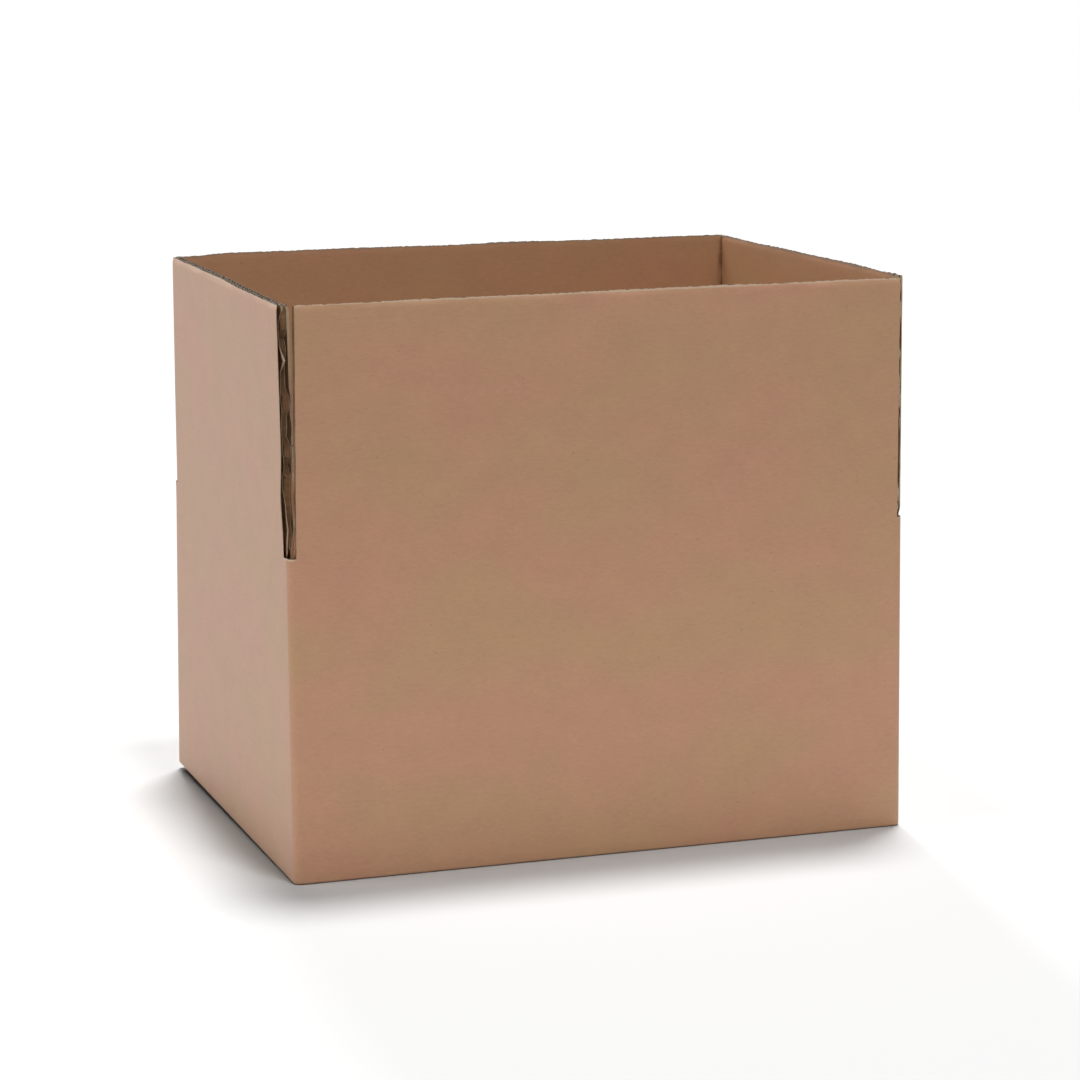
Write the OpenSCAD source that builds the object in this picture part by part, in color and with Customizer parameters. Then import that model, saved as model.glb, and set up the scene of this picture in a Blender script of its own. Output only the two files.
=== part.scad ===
// Open shipping carton of double-wall corrugated board, standing with its four top flaps upright.
// It is a regular slotted carton: one blank, four panels, four top flaps and four bottom flaps.
// The two long panels face -Y and +Y, the two short ones -X and +X. The origin is the middle of
// the base, and every length is in millimetres.

/* [Carton] */
// Inside length, along the long panels
inside_length = 406; // [250:1:700]
// Inside width, along the short panels
inside_width = 305; // [200:1:500]
// Height of the long panels, from the base to the creases of their top flaps
panel_height = 215.3; // [150:0.1:400]
// Height from the base to the floor of the four slots that part the top flaps
slot_floor = 211.2; // [146:0.1:396]
// Gap left between the two long top flaps when they are closed
top_seam = 8; // [1:0.5:20]
// Gap left between the two long bottom flaps, which are closed
bottom_seam = 3; // [1:0.5:10]

/* [Board] */
// Thickness of each flat paper: the outside, middle and inside liners
liner = 0.3; // [0.2:0.05:0.6]
// Thickness of the fluted papers between the liners
flute_paper = 0.25; // [0.15:0.05:0.5]
// Height of the fine flutes, between the outside and middle liners
fine_height = 2.5; // [1.5:0.1:4]
// Pitch of the fine flutes
fine_pitch = 6.4; // [5:0.1:9]
// Height of the coarse flutes, between the middle and inside liners
coarse_height = 3.6; // [2:0.1:5]
// Pitch of the coarse flutes
coarse_pitch = 7.9; // [6:0.1:11]
// How far the open flutes are followed down from the flaps' cut top edges
flute_depth = 25; // [5:1:60]
// How deep the flute that runs along a flap's end is cut open
end_channel_depth = 2.2; // [0.5:0.1:4]

/* [Folds] */
// Outside radius of the upright folds between the panels
corner_radius = 6; // [2:0.5:7]
// Outside radius of the folds along the base
base_radius = 3; // [1:0.5:4]
// Clearance that each folding flap keeps from what lies beside it or under it
fold_gap = 0.3; // [0.1:0.05:0.6]
// Clearance from the ends of the short flaps to the long panels
short_flap_clearance = 1.5; // [0.5:0.1:4]
// Clearance from the ends of the long bottom flaps to the short panels
bottom_flap_clearance = 1.2; // [0.5:0.1:4]

/* [Glue lap] */
// Width of the lap that joins the two ends of the blank, inside the corner at +X and +Y
lap_width = 35; // [20:1:50]
// Thickness of the lap, which is pressed flatter than the rest of the board
lap_thickness = 4; // [2:0.1:6]
// Height that the lap's free edge loses at each end, where it is cut on a slant
lap_slant = 12; // [2:1:20]
// Clearance above and below the lap
lap_clearance = 1; // [0.5:0.1:4]

/* [Hidden] */

kraft = [0.667, 0.514, 0.412];
kraft_light = [0.733, 0.62, 0.541];
cut = 1;
$fn = 64;

board = 3 * liner + fine_height + coarse_height;
fine_base = liner;
coarse_base = 2 * liner + fine_height;
outer_length = inside_length + 2 * board;
outer_width = inside_width + 2 * board;

// The short flaps fold in under the long ones, so their creases lie one board lower.
crease_step = board + fold_gap;
short_crease = panel_height - crease_step;

long_flap_height = (outer_width - top_seam) / 2;
short_flap_height = long_flap_height + crease_step;
total_height = panel_height + long_flap_height;
long_flap_length = outer_length - 2 * (board + fold_gap);
short_flap_length = inside_width - 2 * short_flap_clearance;

bottom_long_reach = (outer_width - bottom_seam) / 2;
bottom_short_reach = bottom_long_reach + crease_step;
bottom_long_length = inside_length - 2 * bottom_flap_clearance;

lap_foot = 2 * board + lap_clearance;
lap_head = short_crease - crease_step - lap_clearance;

// A strip of the given section, in the Y-Z plane, runs along X and is centred on the origin.
module strip_along_x(length, section) {
    rotate([90, 0, 90])
        translate([0, 0, -length / 2])
            linear_extrude(height = length)
                polygon(section);
}

// A block with its base on the origin's level and centred in X and Y.
module centred_block(size) {
    translate([-size[0] / 2, -size[1] / 2, 0])
        cube(size);
}

// Plan of the carton, with its four upright folds rounded.
module rounded_plan(length, width, radius) {
    square([length - 2 * radius, width], center = true);
    square([length, width - 2 * radius], center = true);
    for (x = [-1, 1], y = [-1, 1])
        translate([x * (length / 2 - radius), y * (width / 2 - radius)])
            circle(r = radius);
}

// Upright outline of a panel, with the two folds along the base rounded.
module folded_outline(length, height, radius) {
    translate([-length / 2, radius])
        square([length, height - radius]);
    translate([-length / 2 + radius, 0])
        square([length - 2 * radius, height]);
    for (x = [-1, 1])
        translate([x * (length / 2 - radius), radius])
            circle(r = radius);
}

// Everything inside the carton's outer faces, up to the given height.
module outer_block(height) {
    intersection() {
        linear_extrude(height = height)
            rounded_plan(outer_length, outer_width, corner_radius);
        translate([0, outer_width / 2 + cut, 0])
            rotate([90, 0, 0])
                linear_extrude(height = outer_width + 2 * cut)
                    folded_outline(outer_length, height, base_radius);
        translate([-outer_length / 2 - cut, 0, 0])
            rotate([90, 0, 90])
                linear_extrude(height = outer_length + 2 * cut)
                    folded_outline(outer_width, height, base_radius);
    }
}

// The four panels as one ring, still level at the top.
module panel_ring() {
    difference() {
        outer_block(panel_height);
        translate([0, 0, -cut])
            centred_block([inside_length, inside_width, panel_height + 2 * cut]);
    }
}

// The two long bottom flaps, which lie on the ground, with the seam between them.
module long_bottom_flaps() {
    for (side = [0, 180])
        rotate([0, 0, side])
            translate([-bottom_long_length / 2, -outer_width / 2 + base_radius, 0])
                cube([bottom_long_length, bottom_long_reach - base_radius, board]);
}

// The two short bottom flaps, which were folded first and lie on the long ones.
module short_bottom_flaps() {
    for (side = [0, 180])
        rotate([0, 0, side])
            translate([-outer_length / 2 + base_radius, -short_flap_length / 2, board])
                cube([bottom_short_reach - base_radius, short_flap_length, board]);
}

// The lap inside the corner at +X and +Y, glued to the short panel, with its slanted ends.
module glue_lap() {
    translate([inside_length / 2 - lap_thickness, inside_width / 2, 0])
        rotate([90, 0, 90])
            linear_extrude(height = lap_thickness + cut)
                polygon([
                    [cut, lap_foot],
                    [0, lap_foot],
                    [-lap_width, lap_foot + lap_slant],
                    [-lap_width, lap_head - lap_slant],
                    [0, lap_head],
                    [cut, lap_head]
                ]);
}

// What is taken off above and inside a crease, so that its flap can fold in flat.
// The crease runs along X through the origin, and the carton's inside is towards +Y.
module crease_bevel(length) {
    slope = crease_step / board;
    strip_along_x(length, [
        [0, 0],
        [board + cut, -slope * (board + cut)],
        [board + cut, cut],
        [0, cut]
    ]);
}

// The floor of the four slots: nothing stands above it past the long flaps' ends.
module slot_cuts() {
    side = (outer_length - inside_length) / 2 + cut;
    for (x = [-1, 1])
        translate([x * (inside_length + side) / 2, 0, slot_floor])
            centred_block([side, outer_width + 2 * cut, panel_height - slot_floor + cut]);
}

// The short panels stop at their own crease, one board below the long ones'.
module short_panel_cuts() {
    side = (outer_length - inside_length) / 2 + 2 * cut;
    for (x = [-1, 1])
        translate([x * (inside_length / 2 + side / 2 - cut), 0, short_crease])
            centred_block([side, short_flap_length + 2 * fold_gap, panel_height]);
}

// The body of the carton: four panels, the closed bottom and the glue lap, folded from one blank.
module carton() {
    color(kraft)
        difference() {
            union() {
                panel_ring();
                long_bottom_flaps();
                short_bottom_flaps();
                glue_lap();
            }
            slot_cuts();
            short_panel_cuts();
            for (side = [0, 180])
                rotate([0, 0, side])
                    translate([0, -outer_width / 2, panel_height])
                        crease_bevel(long_flap_length + 2 * fold_gap);
            for (side = [-90, 90])
                rotate([0, 0, side])
                    translate([0, -outer_length / 2, short_crease])
                        crease_bevel(short_flap_length + 2 * fold_gap);
        }
}

// One open flute, as a triangle between two liners. The fluted paper on both sides of it keeps its
// thickness. With rise at 1 its foot is on the outer liner, and with -1 on the inner one.
function flute_triangle(x, base, height, pitch, rise) =
    let (
        slant = atan2(height, pitch / 2),
        side = flute_paper / 2 / sin(slant),
        tip = flute_paper / 2 / cos(slant),
        foot = rise > 0 ? base : base + height,
        peak = rise > 0 ? base + height - tip : base + tip
    )
    [[x + side, foot], [x + pitch - side, foot], [x + pitch / 2, peak]];

// The open flutes of one core along a flap's cut top edge.
module open_flutes(length, top, base, height, pitch) {
    usable = length - 2 * (end_channel_depth + liner);
    count = floor(usable / pitch - 0.5);
    start = -(count + 0.5) * pitch / 2;
    translate([0, 0, top - flute_depth])
        linear_extrude(height = flute_depth + cut)
            for (i = [0 : count - 1]) {
                polygon(flute_triangle(start + i * pitch, base, height, pitch, 1));
                polygon(flute_triangle(start + (i + 0.5) * pitch, base, height, pitch, -1));
            }
}

// The flute that the blade opened along both ends of a flap, for one core.
module end_channels(length, top, base, height) {
    for (side = [-1, 1])
        translate([0, 0, -cut])
            linear_extrude(height = top + 2 * cut)
                polygon([
                    [side * (length / 2 + cut), base],
                    [side * length / 2, base],
                    [side * (length / 2 - end_channel_depth), base + height / 2],
                    [side * length / 2, base + height],
                    [side * (length / 2 + cut), base + height]
                ]);
}

// A flap that stands on its crease, which runs along X through the origin at the outer face.
module flap(length, height) {
    difference() {
        strip_along_x(length, [[0, 0], [board, crease_step], [board, height], [0, height]]);
        open_flutes(length, height, fine_base, fine_height, fine_pitch);
        open_flutes(length, height, coarse_base, coarse_height, coarse_pitch);
        end_channels(length, height, fine_base, fine_height);
        end_channels(length, height, coarse_base, coarse_height);
    }
}

// The long flap of the panel that faces -Y.
module front_flap() {
    color(kraft)
        translate([0, -outer_width / 2, panel_height])
            flap(long_flap_length, long_flap_height);
}

// The long flap of the panel that faces +Y.
module back_flap() {
    color(kraft)
        rotate([0, 0, 180])
            translate([0, -outer_width / 2, panel_height])
                flap(long_flap_length, long_flap_height);
}

// The short flap of the panel that faces -X.
module left_flap() {
    color(kraft_light)
        rotate([0, 0, -90])
            translate([0, -outer_length / 2, short_crease])
                flap(short_flap_length, short_flap_height);
}

// The short flap of the panel that faces +X.
module right_flap() {
    color(kraft_light)
        rotate([0, 0, 90])
            translate([0, -outer_length / 2, short_crease])
                flap(short_flap_length, short_flap_height);
}

carton();
front_flap();
back_flap();
left_flap();
right_flap();
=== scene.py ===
"""Open double-wall cardboard box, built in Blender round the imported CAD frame.

Every length is in metres and every piece stands in the frame of the CAD part: the origin is the
middle of the base, +Z is up, the long panels run along X and the short ones along Y. Each piece
stays at the origin, unturned and unscaled.
"""

import logging
import math
from dataclasses import dataclass, replace
from enum import Enum

import bpy
import numpy as np
from mathutils import Matrix, Vector


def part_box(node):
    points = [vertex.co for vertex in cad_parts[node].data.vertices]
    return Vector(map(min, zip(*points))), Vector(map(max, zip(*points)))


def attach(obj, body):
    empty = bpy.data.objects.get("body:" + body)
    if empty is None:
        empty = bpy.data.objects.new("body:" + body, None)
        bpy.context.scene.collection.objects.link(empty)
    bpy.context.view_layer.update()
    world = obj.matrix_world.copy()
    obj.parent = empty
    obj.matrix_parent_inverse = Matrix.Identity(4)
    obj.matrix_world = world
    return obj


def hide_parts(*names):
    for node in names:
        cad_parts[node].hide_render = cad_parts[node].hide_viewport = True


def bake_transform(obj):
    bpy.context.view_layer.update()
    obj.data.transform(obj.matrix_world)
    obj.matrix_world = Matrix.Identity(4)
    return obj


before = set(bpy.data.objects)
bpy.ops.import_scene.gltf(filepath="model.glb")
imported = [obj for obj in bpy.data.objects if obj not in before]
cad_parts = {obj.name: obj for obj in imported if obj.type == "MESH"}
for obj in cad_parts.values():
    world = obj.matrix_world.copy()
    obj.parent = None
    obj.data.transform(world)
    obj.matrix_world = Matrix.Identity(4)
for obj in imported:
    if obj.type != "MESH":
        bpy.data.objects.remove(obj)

log = logging.getLogger("open_box")

NO_NOTCH = (0.0, 0.0, 0.01)
FLUTE_SAMPLES = 8
ARC_POINTS = 9
KNOTS = 4096
SMOOTH_ANGLE = 40.0
Array = np.ndarray
Piece = bpy.types.Object
Socket = bpy.types.NodeSocket
Materials = list[bpy.types.Material]
Pair = tuple[float, float]
Triple = tuple[float, float, float]
Skins = tuple["Skin", "Skin", "Skin"]


class Side(Enum):
    """The carton's four walls, by the turn about Z in degrees that brings the front wall there."""

    FRONT = 0
    RIGHT = 90
    BACK = 180
    LEFT = -90


class Skin(Enum):
    """What a face of a sheet shows. The value is its place in the list of materials."""

    OUTSIDE = 0
    INSIDE = 1
    MEDIUM = 2
    CUT = 3


OUTER_SKINS = (Skin.OUTSIDE, Skin.MEDIUM, Skin.CUT)
MIDDLE_SKINS = (Skin.MEDIUM, Skin.MEDIUM, Skin.CUT)
INNER_SKINS = (Skin.MEDIUM, Skin.INSIDE, Skin.CUT)


# Sizes of the board and the carton.


@dataclass(frozen=True)
class Board:
    """Make-up of the double-wall board, in metres, from the outer face inwards."""

    liner: float = 0.0003
    flute_paper: float = 0.00025
    fine_height: float = 0.0025
    fine_pitch: float = 0.0064
    coarse_height: float = 0.0036
    coarse_pitch: float = 0.0079

    @property
    def thickness(self) -> float:
        """Thickness of the five plies together."""
        return 3 * self.liner + self.fine_height + self.coarse_height

    @property
    def middle_base(self) -> float:
        """Depth of the middle liner's outer side below the board's outer face."""
        return self.liner + self.fine_height

    @property
    def coarse_base(self) -> float:
        """Depth below the board's outer face where the coarse flutes begin."""
        return 2 * self.liner + self.fine_height


@dataclass(frozen=True)
class CartonSize:
    """Main sizes of the carton in metres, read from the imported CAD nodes.

    The spare is what the rigid CAD flaps leave off at each end of the long flaps. The skew is how
    far the left rear corner of the base stands out of the rectangle, to the left, to the rear and
    off the ground, and the spread is how far the right side of the base does.
    """

    length: float
    width: float
    top: float
    long_crease: float
    short_crease: float
    long_flap: float
    short_flap: float
    slot_floor: float = 0.2112
    body_rim: float = 0.2007
    corner_radius: float = 0.0048
    base_radius: float = 0.0016
    crease_step: float = 0.0073
    long_flap_spare: float = 0.0018
    skew: Triple = (0.002, 0.006, 0.0045)
    spread: float = 0.0008

    @classmethod
    def from_frame(cls) -> "CartonSize":
        """Reads the sizes from the CAD nodes' boxes.

        Returns:
            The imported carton's sizes.
        """
        body_low, body_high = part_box("carton")
        front_low, front_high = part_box("front_flap")
        left_low, left_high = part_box("left_flap")
        return cls(
            length=body_high.x - body_low.x,
            width=body_high.y - body_low.y,
            top=front_high.z,
            long_crease=front_low.z,
            short_crease=left_low.z,
            long_flap=front_high.x - front_low.x,
            short_flap=left_high.y - left_low.y,
        )


# Shapes of the walls, papers and pieces.


def smooth(value: Array, low: float, high: float) -> Array:
    """Smooth step from 0 at low to 1 at high."""
    share = np.clip((value - low) / (high - low), 0, 1)
    return share * share * (3 - 2 * share)


def waves(place: Array, *parts: tuple[float, float, int]) -> Array:
    """Sum of random waves: random heights at even steps, joined by smooth ramps.

    Args:
        place: Positions along an edge.
        *parts: Amount, step and seed of each wave.

    Returns:
        The height at each position.
    """
    total = np.zeros_like(place)
    for amount, step, seed in parts:
        knots = np.random.default_rng(seed).uniform(-1, 1, KNOTS)
        scaled = place / step + KNOTS // 2
        index = np.floor(scaled).astype(int)
        share = smooth(scaled - index, 0, 1)
        total = total + amount * (knots[index] * (1 - share) + knots[index + 1] * share)
    return total


def fading(distance: Array, length: float) -> Array:
    """Falls from 1 at no distance or less towards 0, by a factor of e with each length."""
    return np.exp(-np.clip(distance, 0, None) / length)


@dataclass(frozen=True)
class Warp:
    """How one wall's flap bends out of its plane. Positive is outwards or upwards.

    The lean grows from nothing just above the crease to the given value at the flap's top, and
    changes smoothly from one end of the flap to the other. The spring stands the low end out at
    once, from the crease up. The lift raises the top edge as the lean does, and the droop lowers
    it near the high end. The reach is what the flap is longer at an end, and the taper what it is
    shorter at the top of its low end. The last three fields say where these begin and end.
    """

    lean_low: float = 0.0
    lean_high: float = 0.0
    lift_low: float = 0.0
    lift_high: float = 0.0
    droop_high: float = 0.0
    spring_low: float = 0.0
    reach_low: float = 0.0
    reach_high: float = 0.0
    taper_low: float = 0.0
    stiff: float = 0.012
    spring_zone: Pair = (0.0028, 0.0095)
    droop_zone: Pair = (0.045, 0.012)

    def bend(self, along: Array, height: Array, half: float, crease: float,
             top: float) -> tuple[Array, Array]:
        """Distances that points of the wall move outwards and upwards.

        Args:
            along: Positions along the wall, from its middle.
            height: Heights above the base.
            half: Half of the wall's length.
            crease: Height of the flap's crease.
            top: Height of the flap's top.

        Returns:
            The outward and the upward distances.
        """
        rise = np.clip((height - crease - self.stiff) / (top - crease - self.stiff), 0, None) ** 1.3
        across = np.clip(along / half, -1, 1)
        end = smooth(across, -1, 1)
        lean = (self.lean_low * (1 - end) + self.lean_high * end) * rise
        start, stop = self.spring_zone
        spring = self.spring_low * (1 - end) * smooth(height, crease + start, crease + stop)
        share = 0.5 + 0.5 * across
        start, stop = self.droop_zone
        droop = self.droop_high * smooth(along, half - start, half - stop)
        lift = (self.lift_low * (1 - share) + self.lift_high * share - droop) * rise
        return lean + spring, lift


@dataclass(frozen=True)
class Wall:
    """One wall of the carton with its top flap and bottom flap.

    A point of the board has three coordinates: along the wall from its middle, up the blank from
    the base, and inwards from the outer face. Below the base the blank is folded in under the
    box, so negative heights run inwards along the ground.
    """

    side: Side
    size: CartonSize
    warp: Warp = Warp()

    @property
    def is_long(self) -> bool:
        """True for the front and back walls."""
        return self.side in (Side.FRONT, Side.BACK)

    @property
    def half(self) -> float:
        """Half of the wall's outer length."""
        return (self.size.length if self.is_long else self.size.width) / 2

    @property
    def distance(self) -> float:
        """Distance of the outer face from the middle of the carton."""
        return (self.size.width if self.is_long else self.size.length) / 2

    @property
    def crease(self) -> float:
        """Height of the top flap's crease."""
        return self.size.long_crease if self.is_long else self.size.short_crease

    @property
    def flap_ends(self) -> Pair:
        """Where the top flap ends along the wall.

        Returns:
            The places of its low and high end.
        """
        half = self.size.short_flap / 2
        if self.is_long:
            half = self.size.long_flap / 2 + self.size.long_flap_spare
        return -half - self.warp.reach_low, half + self.warp.reach_high

    @property
    def blank_middle(self) -> float:
        """Where the wall's middle lies on the flat blank, from the glued corner on.

        Returns:
            The distance along the blank.
        """
        length, width = self.size.length, self.size.width
        return {
            Side.BACK: length / 2,
            Side.LEFT: length + width / 2,
            Side.FRONT: length * 1.5 + width,
            Side.RIGHT: length * 2 + width * 1.5,
        }[self.side]

    def world(self, along: Array, inward: Array, height: Array) -> Array:
        """Turns wall coordinates into points of the frame.

        Args:
            along: Distance along the wall from its middle.
            inward: Distance inwards from the outer face.
            height: Height above the ground.

        Returns:
            The points, with the three coordinates last.
        """
        turn = math.radians(self.side.value)
        axis_along = np.array([math.cos(turn), math.sin(turn), 0.0])
        axis_inward = np.array([-math.sin(turn), math.cos(turn), 0.0])
        plan = along[..., None] * axis_along + (inward - self.distance)[..., None] * axis_inward
        sunk = np.clip(1 - height / self.size.body_rim, 0, 1)
        right = np.clip(2 * plan[..., 0] / self.size.length, 0, 1)
        corner = (0.5 + plan[..., 1] / self.size.width) * (0.5 - plan[..., 0] / self.size.length)
        plan[..., 0] += (self.size.spread * right - self.size.skew[0] * corner) * sunk
        plan[..., 1] += self.size.skew[1] * corner * sunk
        plan[..., 2] = height + self.size.skew[2] * corner * sunk
        return plan

    def upright(self, along: Array, height: Array, depth: Array) -> Array:
        """Places points of the panel or of its upright top flap, corners included.

        Past the start of a rounded corner the outer face follows an arc of the corner's radius,
        and a point at some depth follows the arc's centre with what is left of the radius. The
        inner face can't pass the planes of the two inner walls, so it keeps a sharp corner.
        Above the slots nothing is folded, so the board runs straight on.

        Args:
            along: Distance along the wall from its middle.
            height: Height above the base.
            depth: Depth inwards from the outer face.

        Returns:
            The points in the frame.
        """
        radius = self.size.corner_radius
        along, height, depth = np.broadcast_arrays(along, height, depth)
        distance = np.abs(along)
        straight = self.half - radius
        past = np.clip(distance - straight, 0, radius)
        flap = height > self.size.slot_floor + 0.0004
        turned = np.where(flap, 0.0, past / radius * math.pi / 4)
        left_over = radius - depth
        folded = np.minimum(distance, straight) + left_over * np.sin(turned)
        place = np.sign(along) * np.where(flap, distance, np.minimum(folded, self.half - depth))
        inward = np.where(past > 0, radius - left_over * np.cos(turned), depth)
        outwards, upwards = self.warp.bend(along, height, self.half, self.crease, self.size.top)
        return self.world(place, np.maximum(inward, depth) - outwards, height + upwards)

    def under(self, along: Array, height: Array, depth: Array, lift: float) -> Array:
        """Places points of the bottom flap, whose lower face lies flat at the lift's height."""
        along, height, depth = np.broadcast_arrays(along, height, depth)
        return self.world(along, -height, depth + lift)


class SheetMesh:
    """Collects closed sheets of paper or board and makes one mesh piece of them."""

    def __init__(self) -> None:
        """Starts with no sheets."""
        self.parts: dict[str, list[Array]] = {}
        self.count = 0

    def _keep(self, name: str, values: Array) -> None:
        """Keeps some values of the points or the quads under their name."""
        self.parts.setdefault(name, []).append(values)

    def add(self, outer: Array, inner: Array, blank: tuple[Array, Array],
            wear: tuple[Array, Array], skins: Skins, ring: bool = False) -> None:
        """Adds a closed sheet between two grids of points.

        The rows of a grid run up the blank and the columns along it. The outer grid's quads are
        counted so that their normals look outwards, the inner grid's the other way round, and
        strips of quads join the two along the four edges.

        Args:
            outer: Points of the outer side, rows by columns by three.
            inner: Points of the inner side, of the same shape.
            blank: Places on the flat blank for the outer and inner points, with two numbers last.
            wear: Wear of the outer and inner points, from 0 to 1.
            skins: Skins of the outer side, of the inner side and of the edges.
            ring: True if the last column joins the first one.
        """
        rows, columns = outer.shape[:2]
        first = self.count + np.arange(rows * columns).reshape(rows, columns)
        second = first + rows * columns
        if ring:
            first = np.concatenate([first, first[:, :1]], axis=1)
            second = np.concatenate([second, second[:, :1]], axis=1)
        sides = [
            (self._quads(first), skins[0]),
            (self._quads(second)[:, ::-1], skins[1]),
            (self._strip(second[0], first[0]), skins[2]),
            (self._strip(first[-1], second[-1]), skins[2]),
        ]
        if not ring:
            sides.append((self._strip(first[:, 0], second[:, 0])[:, ::-1], skins[2]))
            sides.append((self._strip(first[:, -1], second[:, -1]), skins[2]))
        for quads, skin in sides:
            self._keep("quads", quads)
            self._keep("skins", np.full(len(quads), skin.value))
        for grid, place, worn in zip((outer, inner), blank, wear):
            self._keep("points", grid.reshape(-1, 3))
            self._keep("blank", place.reshape(-1, 2))
            self._keep("wear", worn.reshape(-1))
        self.count += 2 * rows * columns

    @staticmethod
    def _quads(index: Array) -> Array:
        """Quads of a grid of vertex numbers, one row of four numbers for each."""
        corners = (index[:-1, :-1], index[:-1, 1:], index[1:, 1:], index[1:, :-1])
        return np.stack(corners, axis=-1).reshape(-1, 4)

    @staticmethod
    def _strip(near: Array, far: Array) -> Array:
        """Quads between two lines of vertex numbers, one row of four numbers for each."""
        return np.stack((near[:-1], near[1:], far[1:], far[:-1]), axis=-1)

    def build(self, name: str, materials: Materials) -> Piece:
        """Makes the mesh piece.

        Args:
            name: The piece's name.
            materials: One material for each skin, in the order of Skin.

        Returns:
            The new object, linked to the scene, at the origin.
        """
        joined = {part: np.concatenate(values) for part, values in self.parts.items()}
        quads = joined["quads"]
        mesh = bpy.data.meshes.new(name)
        mesh.from_pydata(joined["points"], [], quads)
        mesh.polygons.foreach_set("material_index", joined["skins"].astype(np.int32))
        mesh.polygons.foreach_set("use_smooth", np.ones(len(quads), dtype=bool))
        corner_vertex = np.empty(len(mesh.loops), dtype=np.int32)
        mesh.loops.foreach_get("vertex_index", corner_vertex)
        layer = mesh.uv_layers.new(name="blank")
        layer.data.foreach_set("uv", joined["blank"][corner_vertex].astype(np.float32).ravel())
        worn = mesh.attributes.new("wear", "FLOAT", "POINT")
        worn.data.foreach_set("value", joined["wear"].astype(np.float32))
        mesh.update()
        mesh.set_sharp_from_angle(angle=math.radians(SMOOTH_ANGLE))
        for material in materials:
            mesh.materials.append(material)
        piece = bpy.data.objects.new(name, mesh)
        bpy.context.scene.collection.objects.link(piece)
        log.info("%s: %d quads", name, len(quads))
        return piece


@dataclass(frozen=True)
class BoardWear:
    """How a patch of board was crushed, cut and torn.

    The groove is the share of thickness that the crease loses, thin the share that the flap above
    it loses, and the pinch the share that the cut head may lose. The flare is the share that the
    flap's high end gains. The bevel is how much lower the head is cut at the inner face, or at
    the outer one if it is negative. The tears are how far the knife tore the inner papers back at
    the low and the high end, and loose is how much loose fibre the torn ends show. The notch is a
    worn dip in the high end: its depth, the height of its middle, and half its length.
    """

    groove: float = 0.0
    thin: float = 0.0
    pinch: float = 0.0
    flare: float = 0.0
    bevel: float = 0.0
    tears: Pair = (0.0, 0.0)
    loose: float = 1.0
    notch: Triple = NO_NOTCH


@dataclass(frozen=True)
class Patch:
    """A rectangle of the five-ply board on one wall.

    The rows are shares of the height from foot to head, at which the papers are sampled. Ragged
    is the long wave of the cut head and frayed the short one. The slant is what the low end loses
    at its foot and head, and the press the share of thickness that a pressed lap keeps.
    """

    low: float
    high: float
    foot: float
    head: float
    liner_rows: tuple[float, ...]
    flute_rows: tuple[float, ...]
    liner_step: float = 0.002
    ragged: float = 0.0
    frayed: float = 0.0
    crease: float = 0.0
    press: float = 1.0
    slant: float = 0.0
    worn: BoardWear = BoardWear()
    seed: int = 1

    def liner_columns(self) -> Array:
        """Positions along the board where the flat papers are sampled.

        Returns:
            The positions, closer together near both ends.
        """
        ends = np.array([0, 0.0004, 0.001, 0.002, 0.0035])
        count = max(2, int(round((self.high - self.low - 0.01) / self.liner_step)))
        middle = np.linspace(self.low + 0.005, self.high - 0.005, count + 1)
        return np.concatenate([self.low + ends, middle, self.high - ends[::-1]])


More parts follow.
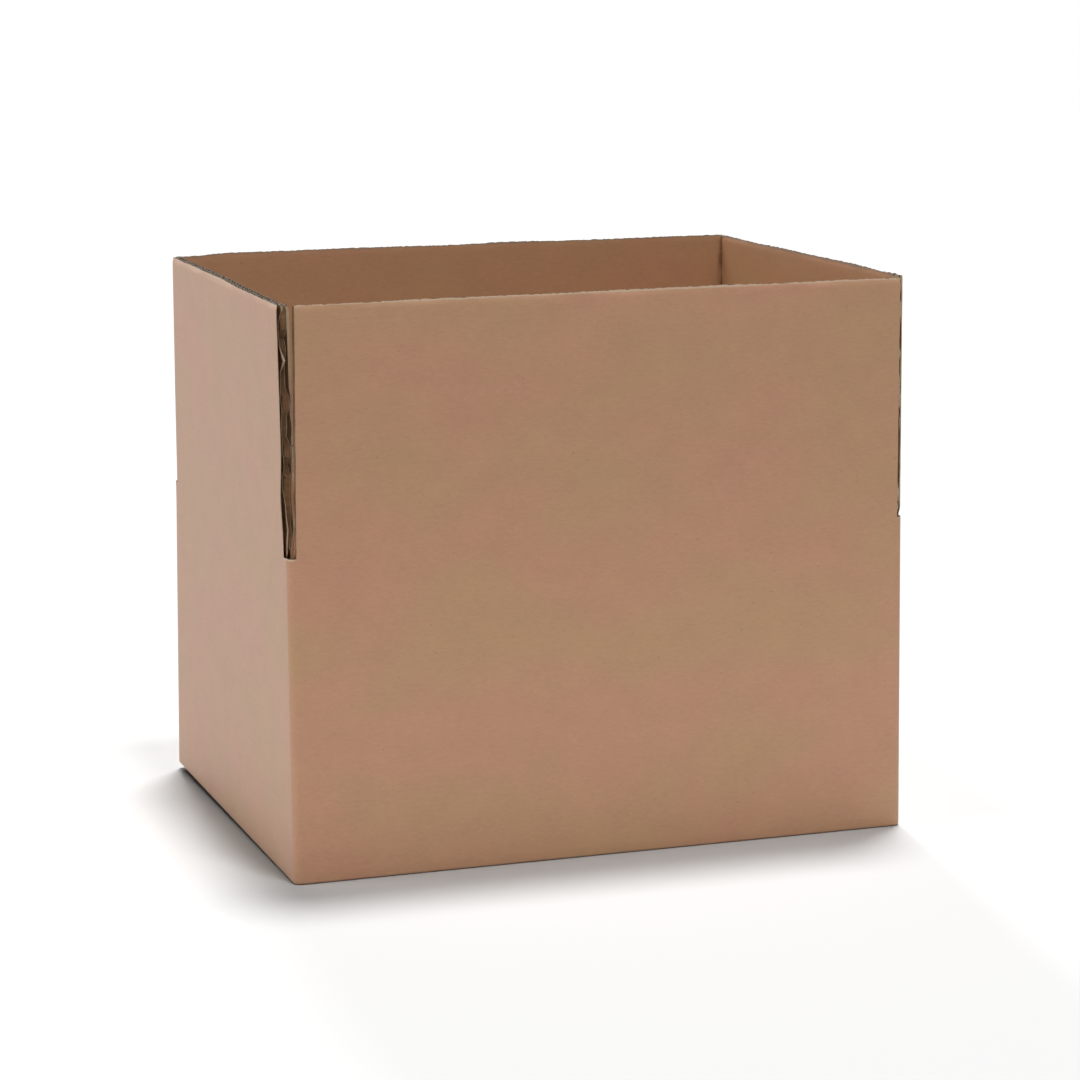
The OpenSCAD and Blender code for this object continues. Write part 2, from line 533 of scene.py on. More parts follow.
@dataclass(frozen=True)
class PlyBuilder:
    """Lays the five papers of a patch of board on a wall, or under the box as a bottom flap.

    The lift is the height of a bottom flap's lower face, or None for an upright patch. The zones
    say between which distances a change begins and ends: from the crease for the groove and the
    thin board above it, from the cut head for the pinch, the worn edge and the fuzz.
    """

    mesh: SheetMesh
    board: Board
    wall: Wall
    patch: Patch
    lift: float | None = None
    groove_foot: Pair = (-0.0073, -0.0035)
    groove_head: Pair = (0.019, 0.0125)
    thin_zone: Pair = (0.004, 0.0125)
    pinch_zone: Pair = (0.004, 0.0)
    pinch_plane: float = 0.0028
    head_wear: Pair = (0.0022, 0.0)
    end_wear: float = 0.12
    fuzz_zone: Pair = (0.0016, 0.0)

    def lay(self) -> None:
        """Adds the papers to the mesh: three flat ones and two fluted ones."""
        board = self.board
        for number, base in enumerate((0.0, board.middle_base, board.thickness - board.liner)):
            self._liner(number, base)
        self._flutes(board.liner, board.fine_height, board.fine_pitch, -1)
        self._flutes(board.coarse_base, board.coarse_height, board.coarse_pitch, 1)

    def _place(self, along: Array, height: Array, depth: Array) -> Array:
        """Puts points of the board in the frame, crushed where the board is.

        The board is pressed flatter along the crease and above it, from the inner face, so there
        every depth shrinks towards the outer face. A pinched head shrinks towards a plane a
        little outside the board's middle.

        Args:
            along: Positions along the board.
            height: Heights on the blank.
            depth: Depths before crushing.

        Returns:
            The points in the frame.
        """
        patch, worn = self.patch, self.patch.worn
        above = height - patch.crease
        band = smooth(above, *self.groove_foot) * smooth(above, *self.groove_head)
        risen = smooth(above, *self.thin_zone)
        keep = patch.press * (1 - np.maximum(worn.groove * band, worn.thin * risen))
        keep = keep * (1 + worn.flare * risen * fading(patch.high - along, 0.004))
        uneven = 0.65 + 0.35 * waves(along, (1.0, 0.019, patch.seed + 5))
        pinched = worn.pinch * smooth(patch.head - height, *self.pinch_zone) * uneven
        depth = self.pinch_plane * pinched + depth * keep * (1 - pinched)
        if self.lift is None:
            return self.wall.upright(along, height, depth)
        return self.wall.under(along, height, depth, self.lift)

    def _free(self, height: Array, ramp: float) -> Array:
        """Tells the cut ends from the folded ones: 0 below the slots and 1 a ramp above their floor."""
        floor = self.wall.size.slot_floor
        return smooth(height, floor, floor + ramp)

    def _edges(self, along: Array, rows: Array, ply: int) -> tuple[Array, Array]:
        """Positions and heights of a paper whose cut edges are uneven.

        The head wanders with two waves, a long one that all papers share and a short one of their
        own. The ends wander in the same way with the height, fading out away from the end.

        Args:
            along: Positions along the board.
            rows: Shares of the height.
            ply: Number of the paper, which picks its own random wave and its share of the bevel.

        Returns:
            Positions along the board and heights, both rows by columns.
        """
        patch, worn, size = self.patch, self.patch.worn, self.wall.size
        seed = patch.seed * 10 + ply
        wander = waves(along, (patch.ragged, 0.041, patch.seed), (patch.frayed, 0.0011, seed))
        share = {0: 0.0, 3: 0.25, 1: 0.5, 5: 0.75, 2: 1.0}[ply]
        wander = wander - (worn.bevel * share if worn.bevel > 0 else -worn.bevel * (1 - share))
        slant = patch.slant * (along - patch.high) / (patch.low - patch.high)
        rows = rows[:, None]
        height = patch.foot + slant + (patch.head - patch.foot - 2 * slant) * rows + wander * rows**6
        place = np.broadcast_to(along, height.shape).copy()
        risen = np.clip((height - size.slot_floor) / (size.top - size.slot_floor), 0, 1)
        place += self.wall.warp.taper_low * risen * smooth(place - patch.low, 0.014, 0.0)
        for sign, end, offset in ((-1, patch.low, 3), (1, patch.high, 7)):
            fade = np.exp(-(((place - end) / 0.002) ** 2))
            bite = np.abs(waves(height, (0.0003, 0.0035, seed + offset)))
            place -= sign * bite * fade * self._free(height, 0.001)
        depth, middle, reach = worn.notch
        dip = depth * np.exp(-(((height - middle) / reach) ** 2))
        place -= dip * smooth(patch.high - place, 0.016, 0.0)
        return place, height

    def _torn(self, place: Array, height: Array, ply: int) -> Array:
        """How far the knife tore a paper's ends up into loose fibre, in uneven patches.

        Args:
            place: Positions along the board.
            height: Heights on the blank.
            ply: Number of the paper, which picks its own patches.

        Returns:
            0 away from the ends and below the slots, and up to the board's looseness above them.
        """
        patch = self.patch
        bumps = waves(height, (0.5, 0.0045, patch.seed * 11 + ply), (0.5, 0.019, patch.seed * 13 + ply))
        near = fading(np.minimum(place - patch.low, patch.high - place), 0.0015)
        return patch.worn.loose * near * smooth(bumps, -0.45, 0.25) * self._free(height, 0.003)

    def _add(self, grids: list[Array], place: Array, height: Array, offset: float,
             skins: Skins) -> None:
        """Adds a paper to the mesh, worn along its cut edges.

        Args:
            grids: Points of its outer and inner side.
            place: Positions along the board.
            height: Heights on the blank.
            offset: What parts its grain from that of the other papers.
            skins: Skins of its outer side, inner side and edges.
        """
        patch = self.patch
        blank = np.stack([place + self.wall.blank_middle + offset, height], axis=-1)
        head = smooth(patch.head - height, *self.head_wear) if patch.frayed else np.zeros_like(height)
        ends = smooth(np.minimum(place - patch.low, patch.high - place), 0.0016, 0.0)
        worn = np.maximum(head, self.end_wear * ends * self._free(height, 0.001))
        self.mesh.add(grids[0], grids[1], (blank, blank), (worn, worn), skins)

    def _liner(self, number: int, base: float) -> None:
        """Adds one flat paper. The middle one is torn back further behind a worn notch.

        Args:
            number: 0 for the outer, 1 for the middle and 2 for the inner liner.
            base: Depth of the paper's outer side.
        """
        patch, worn = self.patch, self.patch.worn
        place, height = self._edges(patch.liner_columns(), np.array(patch.liner_rows), number)
        if number == 1 and worn.notch != NO_NOTCH:
            back = 1.2 * worn.tears[1] * smooth(waves(height, (1.0, 0.016, patch.seed * 17)), -0.6, 0.1)
            place = place - back * fading(patch.high - place, 0.006 + back)
        swell = 0.0012 * self._torn(place, height, number)
        outer = base - (number == 2) * swell
        inner = base + self.board.liner + (number == 1) * swell
        grids = [self._place(place, height, depth) for depth in (outer, inner)]
        self._add(grids, place, height, 2.0 * number, (OUTER_SKINS, MIDDLE_SKINS, INNER_SKINS)[number])

    def _flutes(self, base: float, tall: float, pitch: float, start: int) -> None:
        """Adds one fluted paper.

        Its middle line is a cosine wave in depth along the board, with a whole number of flutes
        between the ends. The two sides lie half the paper's thickness to either side of it, at
        right angles to the wave. Where the knife tore it, the paper is pushed back from the end.

        Args:
            base: Depth where this core begins.
            tall: Height of the core.
            pitch: Length of one flute.
            start: -1 if the wave touches the outer liner at the high end, 1 if the inner one.
        """
        patch, worn, paper = self.patch, self.patch.worn, self.board.flute_paper
        length = patch.high - patch.low
        along = np.linspace(patch.low, patch.high, int(round(length / pitch * FLUTE_SAMPLES)) + 1)
        pitch = length / round(length / pitch)
        swing = (tall - paper) / 2
        phase = 2 * math.pi * (patch.high - along) / pitch
        centre = base + tall / 2 + start * swing * np.cos(phase)
        slope = start * swing * np.sin(phase) * 2 * math.pi / pitch
        norm = np.sqrt(1 + slope * slope)
        place, height = self._edges(along, np.array(patch.flute_rows), 4 + start)
        dent = 0.0
        for sign, end, tear in ((-1, patch.low, worn.tears[0]), (1, patch.high, worn.tears[1])):
            seed = patch.seed * 7 + sign
            bumps = waves(height, (0.5, 0.006, seed + 61), (0.5, 0.034, seed + 91))
            pull = (tear if start < 0 else 0.3 * tear) + (1.2 * tear + 0.0004) * smooth(bumps, -0.1, 0.3)
            dent = dent - sign * pull * fading(np.abs(along - end), 0.0055 + pull)
        fuzz = 1 + worn.pinch * 6 * smooth(patch.head - height, *self.fuzz_zone)
        fuzz = fuzz + 3.5 * self._torn(place, height, 4 + start)
        grids = []
        for side in (-0.5, 0.5):
            shift = side * paper * fuzz
            moved = place - shift * slope / norm + dent
            grids.append(self._place(moved, height, np.clip(centre + shift / norm, base, base + tall)))
        self._add(grids, place, height, 8.0 + 2 * start, MIDDLE_SKINS)


@dataclass(frozen=True)
class TopFlap:
    """A top flap: the uncut board along its crease, and the free part up to its cut top edge."""

    board: Board
    wall: Wall
    worn: BoardWear
    materials: Materials
    seed: int
    strip_rows: tuple[float, ...] = (-0.0062, -0.0055, -0.0046, -0.0035, -0.0016, 0.0, 0.0018, 0.0036,
                                     0.0055)
    foot_rows: tuple[float, ...] = (0.0, 0.0012, 0.0032, 0.0055)
    head_rows: tuple[float, ...] = (0.012, 0.007, 0.0045, 0.0028, 0.0016, 0.0008, 0.0)

    @property
    def name(self) -> str:
        """Name of the wall, with which the names of the flap's pieces start."""
        return self.wall.side.name.lower()

    def _piece(self, name: str, foot: float, head: float, **fields: object) -> Piece:
        """Lays the papers between two heights and makes a piece of them.

        Args:
            name: The piece's name.
            foot: Height where the piece starts.
            head: Height where it ends.
            **fields: The other fields of the patch.

        Returns:
            The piece.
        """
        low, high = self.wall.flap_ends
        mesh = SheetMesh()
        patch = Patch(low, high, foot, head, crease=self.wall.crease, seed=self.seed, **fields)
        PlyBuilder(mesh, self.board, self.wall, patch).lay()
        return mesh.build(name, self.materials)

    def crease_strip(self) -> Piece:
        """Makes the strip along the crease, between the carton and the flap.

        Returns:
            The strip's object.
        """
        size, wall = self.wall.size, self.wall
        foot, head = size.body_rim, wall.crease + size.crease_step
        tall = head - foot
        rows = tuple((wall.crease + step - foot) / tall for step in self.strip_rows) + (1.0,)
        rows = ((0.0, 0.25) if wall.is_long else (0.0,)) + rows
        plain = replace(self.worn, loose=1.0, pinch=0.0, bevel=0.0, notch=NO_NOTCH)
        piece = self._piece(self.name + "_crease_strip", foot, head, liner_rows=rows,
                            flute_rows=rows[::2] if len(rows) % 2 else rows[::2] + (1.0,),
                            liner_step=0.006, worn=plain)
        middle = wall.world(np.zeros(2), np.zeros(2), np.array([-1, 1]) * size.crease_step + wall.crease)
        self.name + "_flap"
        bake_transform(piece)
        return piece

    def flap_board(self) -> Piece:
        """Makes the free part, which rides on its own CAD body and stands for its CAD node.

        Returns:
            The flap's object.
        """
        top = self.wall.size.top
        foot = self.wall.crease + self.wall.size.crease_step
        tall = top - foot
        near_foot = tuple(step / tall for step in self.foot_rows)
        near_top = tuple(1 - step / tall for step in self.head_rows)
        piece = self._piece(self.name + "_flap_board", foot, top - 0.0003,
                            liner_rows=near_foot + tuple(np.linspace(0.08, 0.88, 16)) + near_top,
                            flute_rows=near_foot[::3] + tuple(np.linspace(0.06, 0.9, 22)) + near_top[1:],
                            liner_step=0.0016, ragged=0.0005, frayed=0.00035, worn=self.worn)
        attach(piece, self.name + "_flap")
        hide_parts(self.name + "_flap")
        return piece


@dataclass(frozen=True)
class CartonBody:
    """The four panels, the closed bottom, the corner posts between the slots, and the glue lap."""

    board: Board
    walls: tuple[Wall, ...]
    materials: Materials
    bottom_seam: float = 0.003
    long_clearance: float = 0.0012
    short_clearance: float = 0.0015
    lap_width: float = 0.035
    lap_press: float = 4 / 7
    lap_slant: float = 0.012
    post_wave: float = 0.0055
    trodden: float = 0.0036

    def build(self) -> Piece:
        """Makes the body, which stands for the CAD node of the carton.

        Returns:
            The body's object.
        """
        mesh = SheetMesh()
        self._ring(mesh)
        for index, wall in enumerate(self.walls):
            self._bottom_flap(mesh, wall, 40 + index)
        for index, wall in enumerate(self.walls):
            self._corner_post(mesh, wall, self.walls[(index + 1) % 4], 50 + index)
        self._glue_lap(mesh)
        piece = mesh.build("carton_body", self.materials)
        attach(piece, "carton")
        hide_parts("carton")
        return piece

    def _ring(self, mesh: SheetMesh) -> None:
        """Adds the four panels up to the creases as one ring with rounded folds.

        The outer side starts on the ground one base radius in from the face, follows a quarter
        circle and runs straight up. The inner side is plain.

        Args:
            mesh: The piece that the ring goes into.
        """
        size = self.walls[0].size
        turn = np.radians([0, 18, 36, 54, 72, 90])
        straight = np.concatenate([[0.008, 0.02], np.linspace(0.04, 0.18, 8), [0.194, size.body_rim]])
        heights = np.concatenate([size.base_radius * (1 - np.cos(turn)), straight])
        insets = np.concatenate([size.base_radius * (1 - np.sin(turn)), np.zeros(len(straight))])
        columns, places = [], []
        for wall in self.walls:
            corner = wall.half - size.corner_radius
            arc = corner + size.corner_radius * np.linspace(0, 1, ARC_POINTS)
            along = np.concatenate([-arc[:0:-1], np.linspace(-corner, corner, 36), arc[1:-1]])
            columns.append((wall, along))
            places.append(along + wall.blank_middle)
        grids = []
        for depth in (insets[:, None], np.full((len(heights), 1), self.board.thickness)):
            parts = [wall.upright(along[None, :], heights[:, None], depth) for wall, along in columns]
            grids.append(np.concatenate(parts, axis=1))
        place = np.broadcast_to(np.concatenate(places), grids[0].shape[:2])
        height = np.broadcast_to(heights[:, None], place.shape)
        outer = np.stack([place, height], axis=-1)
        inner = np.stack([place + 4.0, height], axis=-1)
        folds = [smooth(np.abs(a) / w.half, 1 - self.board.thickness / w.half, 1.0) for w, a in columns]
        base = smooth(heights, 0.004, 0.0005)
        worn = np.maximum(0.12 * np.concatenate(folds)[None, :], 0.3 * base[:, None])
        mesh.add(grids[0], grids[1], (outer, inner), (worn, np.zeros_like(worn)),
                 (Skin.OUTSIDE, Skin.INSIDE, Skin.CUT), ring=True)

    def _bottom_flap(self, mesh: SheetMesh, wall: Wall, seed: int) -> None:
        """Adds one bottom flap, from the inner face of its wall to its cut free edge.

        Args:
            mesh: The piece that the flap goes into.
            wall: The flap's wall.
            seed: Seed of its uneven edges.
        """
        thickness = self.board.thickness
        reach = (wall.size.width - self.bottom_seam) / 2 + (0.0 if wall.is_long else wall.size.crease_step)
        half = wall.half - thickness - (self.long_clearance if wall.is_long else self.short_clearance)
        tall = reach - thickness
        patch = Patch(-half, half, -reach, -thickness, (0.0, 0.006 / tall, 0.02 / tall, 0.4, 0.7, 1.0),
                      (0.0, 0.02 / tall, 1.0), liner_step=0.004, seed=seed)
        PlyBuilder(mesh, self.board, wall, patch, 0.0 if wall.is_long else thickness).lay()

    def _corner_post(self, mesh: SheetMesh, wall: Wall, after: Wall, seed: int) -> None:
        """Adds the short post of board left between the slots round one upright fold.

        It starts at the high end of this wall's flap and ends at the low end of the next one's.
        On the short wall its inner papers are trodden down, where the long flap folds in over them.

        Args:
            mesh: The piece that the post goes into.
            wall: The wall at whose high end the post stands.
            after: The next wall, at whose low end it ends.
            seed: Seed of its uneven top.
        """
        size, board = wall.size, self.board
        rows = np.array([0, 0.5, 0.85, 1.0])[:, None]
        start, stop = wall.flap_ends[1], after.flap_ends[0]
        first = np.linspace(wall.half - size.corner_radius, wall.half, ARC_POINTS)
        second = np.linspace(-after.half, size.corner_radius - after.half, ARC_POINTS)[1:]
        first = np.concatenate([[start], first[first > start]])
        second = np.concatenate([second[second < stop], [stop]])
        run = np.concatenate([first - wall.half, second + after.half])
        split = len(first)
        fine = (board.liner + board.fine_height / 2, board.fine_height * 0.36)
        coarse = (board.coarse_base + board.coarse_height / 2, board.coarse_height * 0.36)
        plies = (
            (0, 0.0, 0.0, board.liner, OUTER_SKINS),
            (1, board.middle_base, 0.0, board.liner, MIDDLE_SKINS),
            (2, board.thickness - board.liner, 0.0, board.liner, INNER_SKINS),
            (3, *fine, board.flute_paper, MIDDLE_SKINS),
            (5, *coarse, board.flute_paper, MIDDLE_SKINS),
        )
        for number, base, swing, paper, skins in plies:
            top = size.slot_floor + waves(run, (0.00025, 0.0012, seed + number))
            if number:
                short_part = run if wall.is_long else -run
                top = top - self.trodden * smooth(short_part, size.corner_radius, 0.0072)
            height = size.body_rim + (top - size.body_rim)[None, :] * rows
            wave = swing * np.sin(run * 2 * math.pi / self.post_wave + number)
            grids = []
            for depth in (base + wave, base + wave + paper):
                grids.append(np.concatenate([
                    wall.upright(first[None, :], height[:, :split], depth[None, :split]),
                    after.upright(second[None, :], height[:, split:], depth[None, split:]),
                ], axis=1))
            place = wall.blank_middle + wall.half + run + (8.0 if number > 2 else 2.0 * number)
            blank = np.stack([np.broadcast_to(place, height.shape), height], axis=-1)
            worn = smooth(top - height, 0.002, 0.0)
            mesh.add(grids[0], grids[1], (blank, blank), (worn, worn), skins)

    def _glue_lap(self, mesh: SheetMesh) -> None:
        """Adds the pressed lap glued inside the corner at +X and +Y, on the short panel.

        Args:
            mesh: The piece that the lap goes into.
        """
        right = next(wall for wall in self.walls if wall.side is Side.RIGHT)
        thickness = self.board.thickness
        length = right.size.length - 2 * thickness + 2 * thickness * self.lap_press
        inner = right.half - thickness
        patch = Patch(inner - self.lap_width, inner, 0.015, 0.1997, (0, 0.02, 0.3, 0.6, 0.98, 1),
                      (0, 0.5, 1), press=self.lap_press, slant=self.lap_slant, frayed=0.0001, seed=71)
        PlyBuilder(mesh, self.board, Wall(right.side, replace(right.size, length=length)), patch).lay()


# Materials.


class Graph:
    """A node tree under construction, with short calls to add and join its nodes."""

    def __init__(self, tree: bpy.types.NodeTree) -> None:
        """Keeps the tree of a material, a world or a node group."""
        self.tree = tree

    def add(self, kind: str, sources: dict | None = None, **settings: object) -> bpy.types.Node:
        """Adds a node.

        Args:
            kind: Blender's name of the node type.
            sources: What its inputs are fed with, by their names or numbers.
            **settings: Attributes to set on the node.

        Returns:
            The new node.
        """
        node = self.tree.nodes.new(kind)
        for name, value in settings.items():
            setattr(node, name, value)
        for key, source in (sources or {}).items():
            self.feed(node.inputs[key], source)
        return node

    def feed(self, target: Socket, source: object) -> None:
        """Sets an input socket to a number or colour, or links another socket to it.

        Args:
            target: The input socket.
            source: An output socket, or the value to set.
        """
        if isinstance(source, Socket):
            self.tree.links.new(source, target)
        else:
            target.default_value = source

    def math(self, operation: str, first: object, second: object = 0.0, third: object = 0.0,
             clamp: bool = False) -> Socket:
        """Adds a math node.

        Args:
            operation: The operation's name.
            first: First input.
            second: Second input.
            third: Third input.
            clamp: True to keep the result between 0 and 1.

        Returns:
            The node's output.
        """
        sources = {0: first, 1: second, 2: third}
        return self.add("ShaderNodeMath", sources, operation=operation, use_clamp=clamp).outputs[0]

    def around(self, value: object, share: float, level: object) -> Socket:
        """Adds a share of how far a noise value is from its middle to a level."""
        return self.math("MULTIPLY_ADD", self.math("SUBTRACT", value, 0.5), share, level)

    def ramp(self, value: object, low: float, high: float, to_low: float = 0.0,
             to_high: float = 1.0) -> Socket:
        """Maps a range of values to another, smoothly and clamped.

        Args:
            value: The input.
            low: Start of the input range.
            high: End of the input range.
            to_low: Output at the start.
            to_high: Output at the end.

        Returns:
            The mapped value.
        """
        sources = {0: value, 1: low, 2: high, 3: to_low, 4: to_high}
        return self.add("ShaderNodeMapRange", sources, interpolation_type="SMOOTHSTEP").outputs[0]

    def mix(self, share: object, first: object, second: object) -> Socket:
        """Mixes two colours, with the given share of the second one."""
        return self.add("ShaderNodeMix", {0: share, 6: first, 7: second}, data_type="RGBA").outputs[2]

    def noise(self, place: object, stretch: Triple, detail: float, rough: float) -> Socket:
        """Adds noise, stretched along the blank.

        Args:
            place: The place vector.
            stretch: Scale along each axis, in waves per metre.
            detail: Detail of the noise.
            rough: Weight of the finer waves.

        Returns:
            The noise value.
        """
        mapping = self.add("ShaderNodeMapping", {"Vector": place, "Scale": stretch})
        sources = {"Vector": mapping.outputs[0], "Scale": 1.0, "Detail": detail, "Roughness": rough}
        return self.add("ShaderNodeTexNoise", sources).outputs[0]


def paper_group() -> bpy.types.NodeTree:
    """Builds the node group that every kraft finish shares.

    It makes clouds of tone with flecks, a tint, fine fibres along the blank, a few dark specks,
    and the scuff: the wear stored on the mesh, broken up by fine noise.

    Returns:
        The node group, which is given the place on the blank and the wear.
    """
    tree = bpy.data.node_groups.new("paper", "ShaderNodeTree")
    for label, kind in (("Place", "NodeSocketVector"), ("Wear", "NodeSocketFloat")):
        tree.interface.new_socket(name=label, in_out="INPUT", socket_type=kind)
    for label in ("Cloud", "Tint", "Fibre", "Speck", "Scuff"):
        tree.interface.new_socket(name=label, in_out="OUTPUT", socket_type="NodeSocketFloat")
    graph = Graph(tree)
    given = graph.add("NodeGroupInput").outputs
    place, wear = given["Place"], given["Wear"]
    clouds = graph.noise(place, (38, 46, 1), 4.0, 0.6)
    flecks = graph.noise(place, (170, 420, 1), 2.0, 0.5)
    specks = graph.noise(place, (330, 420, 1), 1.0, 0.4)
    long_fibre = graph.noise(place, (260, 1250, 1), 3.0, 0.6)
    short_fibre = graph.noise(place, (900, 2100, 1), 2.0, 0.5)
    fine = graph.noise(place, (520, 700, 1), 3.0, 0.6)
    patchy = graph.noise(place, (75, 75, 1), 2.0, 0.5)
    broken = graph.math("MULTIPLY_ADD", fine, 0.55, graph.math("MULTIPLY", patchy, 0.45))
    lifted = graph.math("MULTIPLY_ADD", wear, 0.75, graph.math("SUBTRACT", broken, 0.5))
    graph.add("NodeGroupOutput", {
        "Cloud": graph.around(flecks, 0.9, clouds),
        "Tint": graph.noise(place, (11, 17, 1), 3.0, 0.5),
        "Fibre": graph.math("MULTIPLY_ADD", long_fibre, 0.6, graph.math("MULTIPLY", short_fibre, 0.4)),
        "Speck": graph.ramp(specks, 0.745, 0.80),
        "Scuff": graph.math("MULTIPLY", graph.ramp(lifted, 0.12, 0.72), graph.ramp(wear, 0.0, 0.25)),
    })
    return tree


@dataclass(frozen=True)
class KraftFinish:
    """A paper surface of the box. Colours are linear."""

    name: str
    colour: Triple
    warm: Triple
    scuffed: Triple
    cloud: float = 0.10
    fibre: float = 0.22
    speck: float = 0.25
    roughness: float = 0.52
    specular: float = 0.6
    sheen: float = 0.0
    bump: float = 0.00004
    fibre_rough: float = 0.16
    scuff_rough: float = 0.2
    scuff_height: float = 0.8

    def build(self, group: bpy.types.NodeTree) -> bpy.types.Material:
        """Makes the material.

        Args:
            group: The shared node group of the paper.

        Returns:
            The material.
        """
        material = bpy.data.materials.new(self.name)
        material.use_nodes = True
        graph = Graph(material.node_tree)
        shader = material.node_tree.nodes["Principled BSDF"].inputs
        place = graph.add("ShaderNodeUVMap", uv_map="blank").outputs[0]
        wear = graph.add("ShaderNodeAttribute", attribute_name="wear").outputs["Fac"]
        paper = graph.add("ShaderNodeGroup", {"Place": place, "Wear": wear}, node_tree=group).outputs
        base = graph.mix(graph.ramp(paper["Tint"], 0.3, 0.7), (*self.colour, 1.0), (*self.warm, 1.0))
        tone = graph.around(paper["Cloud"], 2 * self.cloud, 1.0)
        tone = graph.around(paper["Fibre"], 2 * self.fibre, tone)
        tone = graph.math("SUBTRACT", tone, graph.math("MULTIPLY", paper["Speck"], self.speck))
        scaled = graph.add("ShaderNodeVectorMath", {0: base, "Scale": tone}, operation="SCALE").outputs[0]
        rough = graph.math("MULTIPLY_ADD", paper["Fibre"], self.fibre_rough,
                           self.roughness - self.fibre_rough / 2)
        scuff = paper["Scuff"]
        height = graph.math("MULTIPLY_ADD", scuff, self.scuff_height, paper["Fibre"])
        bump = graph.add("ShaderNodeBump", {"Strength": 1.0, "Distance": self.bump, "Height": height})
        graph.feed(shader["Base Color"], graph.mix(scuff, scaled, (*self.scuffed, 1.0)))
        rough = graph.math("MULTIPLY_ADD", scuff, self.scuff_rough, rough, clamp=True)
        graph.feed(shader["Roughness"], rough)
        graph.feed(shader["Specular IOR Level"], self.specular)
        graph.feed(shader["Sheen Weight"], self.sheen)
        graph.feed(shader["Normal"], bump.outputs[0])
        return material


# Floor, lights and camera.


def hang(name: str, kind: str, strength: float, lit: bpy.types.Collection | None) -> Piece:
    """Adds a light to the scene.

    Args:
        name: The light's name.
        kind: Blender's name of the kind of light.
        strength: Its energy.
        lit: The only pieces that it falls on, or None for all.

    Returns:
        The light's object.
    """
    light = bpy.data.lights.new(name, kind)
    light.energy = strength
    lamp = bpy.data.objects.new(name, light)
    if lit is not None:
        lamp.light_linking.receiver_collection = lit
    bpy.context.scene.collection.objects.link(lamp)
    return lamp


@dataclass(frozen=True)
class SoftLight:
    """A distant light with a soft edge. The source is the direction that it comes from."""

    name: str
    strength: float
    size: float
    source: Triple

    def build(self, lit: bpy.types.Collection | None = None) -> None:
        """Adds the light.

        Args:
            lit: The only pieces that it falls on, or None for all.
        """
        lamp = hang(self.name, "SUN", self.strength, lit)
        lamp.data.angle = math.radians(self.size)
        lamp.rotation_mode = "QUATERNION"
        lamp.rotation_quaternion = Vector(self.source).to_track_quat("Z", "Y")


@dataclass(frozen=True)
class ReflectorBoard:
    """A long low board that stands in front of the box and throws soft light on its lower part."""

    name: str
    power: float
    wide: float
    tall: float
    place: Triple

    def build(self, lit: bpy.types.Collection) -> None:
        """Adds the board's light, which the camera doesn't see.

        Args:
            lit: The only pieces that it falls on.
        """
        lamp = hang(self.name, "AREA", self.power, lit)
        lamp.data.shape = "RECTANGLE"
        lamp.data.size, lamp.data.size_y = self.wide, self.tall
        lamp.location = self.place
        lamp.rotation_euler = (math.radians(90), 0.0, 0.0)
        lamp.visible_camera = lamp.visible_glossy = False


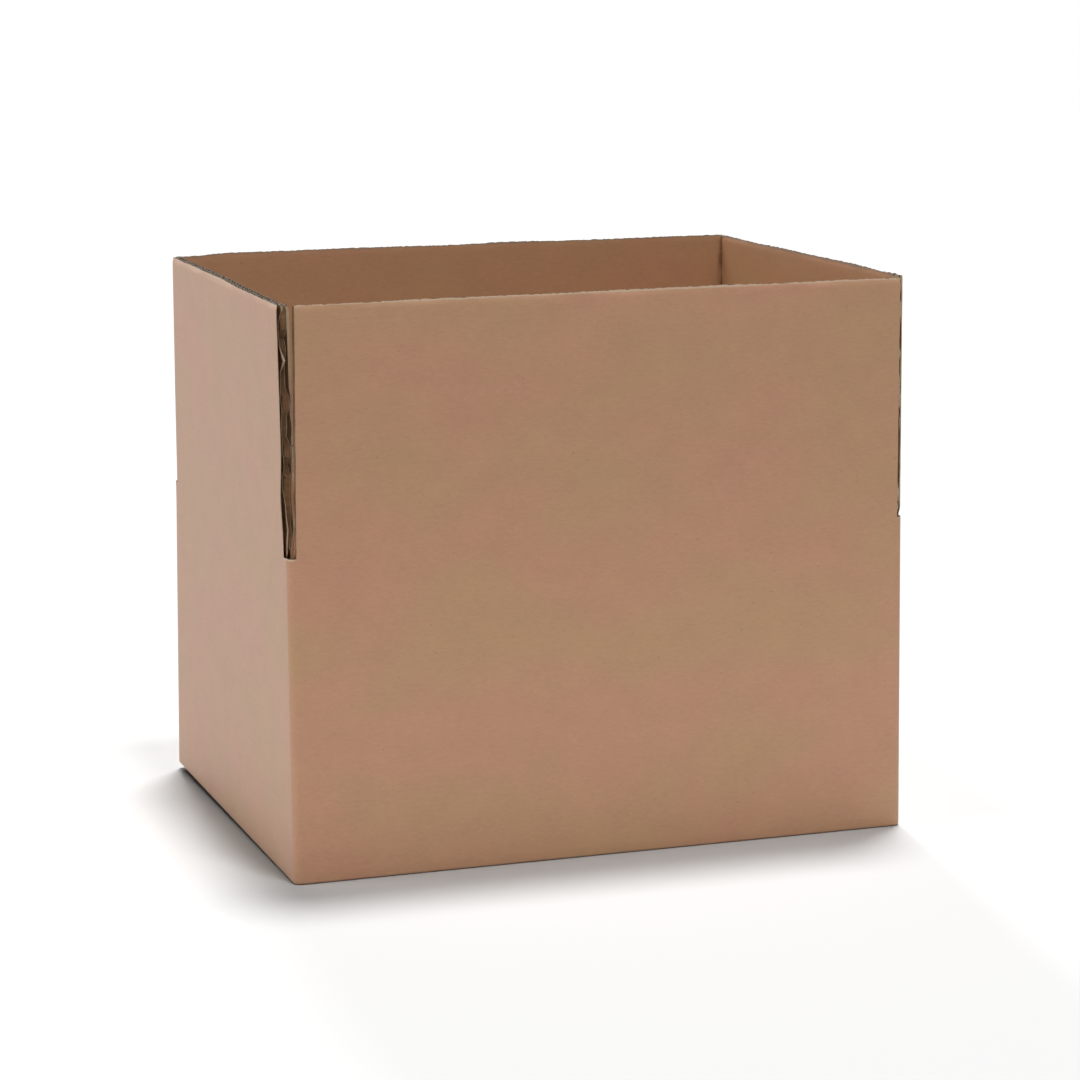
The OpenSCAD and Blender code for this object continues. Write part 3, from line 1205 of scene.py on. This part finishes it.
@dataclass(frozen=True)
class Studio:
    """Plain pale floor, soft lights overhead, and two more on the box, from the left and the front.

    The overhead lights and their shares follow the shadow that the box throws: most of it comes
    from almost straight above, a little from the front, from the left and from behind. The side
    lights and the reflector fall on the box only, so that its shadow stays as deep as it is.
    """

    floor_half: float = 6.0
    floor_height: float = -0.0001
    floor_colour: float = 0.5
    floor_glow: float = 0.01
    surround: float = 0.03
    overhead: float = 6.4
    shares: tuple[SoftLight, ...] = (
        SoftLight("overhead", 0.62, 11.5, (0.1, 0.163, 1.0)),
        SoftLight("overhead_front", 0.19, 7.0, (0.082, -0.249, 1.0)),
        SoftLight("overhead_left", 0.09, 8.0, (-0.273, 0.03, 1.0)),
        SoftLight("high_rear", 0.1, 7.0, (0.168, 1.534, 1.0)),
    )
    beside: tuple[SoftLight | ReflectorBoard, ...] = (
        SoftLight("left_light", 1.8, 40.0, (-0.74, 0.2, 0.64)),
        SoftLight("front_light", 1.3, 40.0, (-0.06, -0.76, 0.64)),
        ReflectorBoard("reflector_board", 0.35, 1.3, 0.1, (0.0, -0.36, 0.05)),
    )

    def build(self, pieces: list[Piece]) -> None:
        """Makes the floor, the lights and the world.

        Args:
            pieces: The pieces of the box, which the lights beside it fall on.
        """
        self._floor()
        self._world()
        for light in self.shares:
            height = Vector(light.source).normalized().z
            replace(light, strength=self.overhead * light.strength / height).build()
        lit = bpy.data.collections.new("lit_from_the_side")
        for piece in pieces:
            lit.objects.link(piece)
        for light in self.beside:
            light.build(lit)

    def _floor(self) -> None:
        """Adds the floor: matt, with a faint glow that only the camera sees."""
        half = self.floor_half
        mesh = bpy.data.meshes.new("floor")
        plan = ((-half, -half), (half, -half), (half, half), (-half, half))
        mesh.from_pydata([(x, y, self.floor_height) for x, y in plan], [], [(0, 1, 2, 3)])
        material = bpy.data.materials.new("pale_floor")
        material.use_nodes = True
        graph = Graph(material.node_tree)
        shader = material.node_tree.nodes["Principled BSDF"].inputs
        shader["Base Color"].default_value = (self.floor_colour,) * 3 + (1.0,)
        shader["Roughness"].default_value = 1.0
        shader["Specular IOR Level"].default_value = 0.0
        shader["Emission Color"].default_value = (1, 1, 1, 1)
        seen = graph.add("ShaderNodeLightPath").outputs["Is Camera Ray"]
        graph.feed(shader["Emission Strength"], graph.math("MULTIPLY", seen, self.floor_glow))
        mesh.materials.append(material)
        floor = bpy.data.objects.new("floor", mesh)
        bpy.context.scene.collection.objects.link(floor)

    def _world(self) -> None:
        """Sets the world: white where the camera or a sheen looks at it, dim as a light."""
        world = bpy.data.worlds.new("surround")
        bpy.context.scene.world = world
        world.use_nodes = True
        graph = Graph(world.node_tree)
        shade = world.node_tree.nodes["Background"].inputs
        shade["Color"].default_value = (1, 1, 1, 1)
        path = graph.add("ShaderNodeLightPath").outputs
        seen = graph.math("MAXIMUM", path["Is Camera Ray"], path["Is Glossy Ray"])
        graph.feed(shade["Strength"], graph.ramp(seen, 0.0, 1.0, self.surround, 1.0))


@dataclass(frozen=True)
class PhotoCamera:
    """The photo's viewpoint, fitted to the edges of the box. Angles are in degrees."""

    place: Triple = (-0.7494, -2.2769, 0.6334)
    turn: float = 18.437
    down: float = 10.672
    roll: float = -0.491
    lens: float = 118.28
    sensor: float = 36.0
    reach: float = 50.0

    def build(self) -> None:
        """Makes the scene's camera."""
        camera = bpy.data.cameras.new("photo_camera")
        camera.lens = self.lens
        camera.sensor_width = self.sensor
        camera.clip_end = self.reach
        holder = bpy.data.objects.new("photo_camera", camera)
        holder.matrix_world = Matrix.Translation(self.place)
        for angle, axis in ((-self.turn, "Z"), (90 - self.down, "X"), (self.roll, "Z")):
            holder.matrix_world @= Matrix.Rotation(math.radians(angle), 4, axis)
        bpy.context.scene.collection.objects.link(holder)
        bpy.context.scene.camera = holder


def main() -> None:
    """Builds the box, its studio and its camera."""
    logging.basicConfig(level=logging.INFO, format="%(name)s: %(message)s")
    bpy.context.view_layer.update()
    board = Board()
    size = CartonSize.from_frame()
    warps = {
        Side.BACK: Warp(lean_high=0.004, lift_low=-0.0007, lift_high=0.001, droop_high=0.0018),
        Side.LEFT: Warp(lean_low=-0.001, lean_high=0.0014, reach_high=-0.002),
        Side.FRONT: Warp(lean_low=-0.0002, lean_high=0.0012, lift_low=0.0007, reach_high=0.0015,
                         taper_low=0.0022),
        Side.RIGHT: Warp(spring_low=0.0013, lift_low=0.0018, lift_high=-0.0013, reach_low=0.0012),
    }
    walls = tuple(Wall(side, size, warp) for side, warp in warps.items())
    finishes = (
        KraftFinish("kraft_outside", (0.328, 0.184, 0.089), (0.352, 0.173, 0.098), (0.44, 0.31, 0.21),
                    sheen=0.12),
        # Inner liner: its own tone, lifted a little above the outer liner's as painted light that makes up
        # for light the lamps don't bring into the box.
        KraftFinish("kraft_inside_with_painted_light", (0.345, 0.192, 0.095), (0.362, 0.186, 0.096), (0.27, 0.19, 0.13)),
        # Fluted paper: its own duller brown, darkened further as painted shade for the deep flute channels
        # at the cut ends and in the slots; darker again where worn.
        KraftFinish("flute_medium_with_painted_shade", (0.19, 0.115, 0.060), (0.18, 0.092, 0.048), (0.14, 0.11, 0.08),
                    cloud=0.4, speck=0.7, roughness=0.85, specular=0.0),
        KraftFinish("cut_paper", (0.36, 0.28, 0.19), (0.33, 0.24, 0.16), (0.13, 0.105, 0.085),
                    cloud=0.3, speck=0.6, roughness=0.9, specular=0.05),
    )
    group = paper_group()
    materials = [finish.build(group) for finish in finishes]
    pieces = [CartonBody(board, walls, materials).build()]
    wears = {
        Side.BACK: BoardWear(groove=0.3, thin=0.2, pinch=0.1, bevel=-0.001),
        Side.LEFT: BoardWear(groove=0.3, pinch=0.3, flare=0.2, tears=(0.0005, 0.006),
                             notch=(0.0045, 0.247, 0.017)),
        Side.FRONT: BoardWear(groove=0.3, thin=0.2, pinch=0.3, bevel=0.0008, tears=(0.001, 0.0)),
        Side.RIGHT: BoardWear(groove=0.45, pinch=0.12, bevel=-0.0016, loose=5.0),
    }
    for index, wall in enumerate(walls):
        flap = TopFlap(board, wall, wears[wall.side], materials, 20 + index)
        pieces += [flap.crease_strip(), flap.flap_board()]
    Studio().build(pieces)
    PhotoCamera().build()
    bpy.context.scene.view_settings.view_transform = "Standard"


if __name__ == "__main__":
    main()
